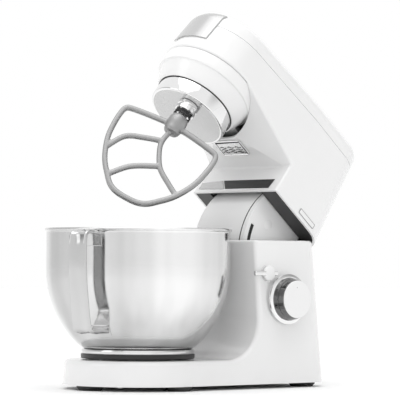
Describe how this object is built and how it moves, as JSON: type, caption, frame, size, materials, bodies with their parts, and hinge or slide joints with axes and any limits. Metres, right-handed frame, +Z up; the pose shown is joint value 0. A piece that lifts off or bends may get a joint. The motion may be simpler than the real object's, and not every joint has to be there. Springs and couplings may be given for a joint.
{
  "type": "stand mixer",
  "caption": "Tilt-head stand mixer with a locking steel bowl, a flat beater on a planetary drive and a speed knob on the side.",
  "frame": {"origin": "on the table, on the vertical axis of the bowl", "axes": "+Z up, -Y the front, +X the side with the speed knob and the tilt lever"},
  "size_m": [0.222, 0.4425, 0.4525],
  "materials": {
    "white_enamel": "gloss",
    "white_plastic": "gloss",
    "chrome": "polished",
    "polished_steel": "polished",
    "black_plastic": "matte",
    "dark_plastic": "satin",
    "rubber": "matte",
    "silver_plastic": "satin",
    "steel": "satin",
    "cast_aluminium": "satin",
    "bronze": "satin",
    "copper_winding": "satin",
    "board_green": "matte"
  },
  "bodies": {
    "stand": {"base_shell": "white_enamel", "base_plate": "white_plastic", "feet": "rubber", "base_screws": "steel", "bowl_seat": "white_plastic", "cord_gland": "black_plastic", "pivot_brackets": "steel", "pivot_pin": "steel", "pivot_circlips": "steel", "speed_switch": "black_plastic", "control_board": "board_green", "knob_bezel": "chrome", "lever_collar": "chrome", "latch_spring": "steel"},
    "speed_knob": {"knob_body": "chrome", "knob_cap": "white_plastic", "knob_shaft": "steel"},
    "tilt_lever": {"lever_handle": "chrome", "lever_shaft": "steel", "latch_hook": "steel"},
    "bowl": {"bowl": "polished_steel", "bowl_foot": "black_plastic", "bowl_handle": "polished_steel"},
    "head": {"head_housing": "white_enamel", "top_cover": "white_enamel", "underside_plate": "dark_plastic", "underside_screws": "steel", "nose_collar": "white_enamel", "front_insert": "chrome", "vent_grille": "silver_plastic", "hub_socket": "dark_plastic", "chassis_plate": "cast_aluminium", "neck_shell": "white_enamel", "neck_cheeks": "white_enamel", "pivot_bushes": "bronze", "gearbox_tube": "cast_aluminium", "drive_bearings": "steel", "motor_stator": "steel", "motor_end_caps": "black_plastic", "brush_holders": "black_plastic", "belt": "rubber", "ring_gear": "steel"},
    "hub_cover": {"hub_cover": "silver_plastic"},
    "rotor": {"armature": "copper_winding", "motor_shaft": "steel", "motor_fan": "black_plastic", "small_pulley": "black_plastic"},
    "planetary": {"large_pulley": "black_plastic", "drive_shaft": "steel", "planetary_cup": "chrome"},
    "output": {"pinion": "steel", "output_shaft": "steel", "output_sleeve": "chrome", "output_spring": "steel", "drive_pin": "steel", "beater": "cast_aluminium"}
  },
  "joints": [
    {"name": "head_tilt", "type": "hinge", "parent": "stand", "child": "head", "pos_m": [0, 0.214, 0.16], "axis": [1, 0, 0], "range_deg": [0, 41]},
    {"name": "planetary_spin", "type": "hinge", "parent": "head", "child": "planetary", "pos_m": [0, 0.07873, 0.33059], "axis": [0, 0.6561, 0.7547], "continuous": true},
    {"name": "beater_spin", "type": "hinge", "parent": "planetary", "child": "output", "pos_m": [0.02006, 0.0651, 0.34244], "axis": [0, 0.6561, 0.7547], "continuous": true},
    {"name": "rotor_spin", "type": "hinge", "parent": "head", "child": "rotor", "pos_m": [0, 0.21569, 0.27778], "axis": [0, 0.6561, 0.7547], "continuous": true},
    {"name": "speed_turn", "type": "hinge", "parent": "stand", "child": "speed_knob", "pos_m": [0.08136, 0.1625, 0.1063], "axis": [1, 0, 0], "range_deg": [-40, 200]},
    {"name": "lever_turn", "type": "hinge", "parent": "stand", "child": "tilt_lever", "pos_m": [0.07901, 0.1345, 0.1373], "axis": [1, 0, 0], "range_deg": [0, 25]},
    {"name": "bowl_twist", "type": "hinge", "parent": "stand", "child": "bowl", "pos_m": [0, 0, 0.04], "axis": [0, 0, 1], "range_deg": [-25, 0]},
    {"name": "hub_cover_pull", "type": "slide", "parent": "head", "child": "hub_cover", "axis": [0, -0.7547, 0.6561], "range_m": [0, 0.03]}
  ],
  "couplings": [
    {"joint": "beater_spin", "follows": "planetary_spin", "ratio": -2.8},
    {"joint": "rotor_spin", "follows": "planetary_spin", "ratio": 4.3636}
  ]
}
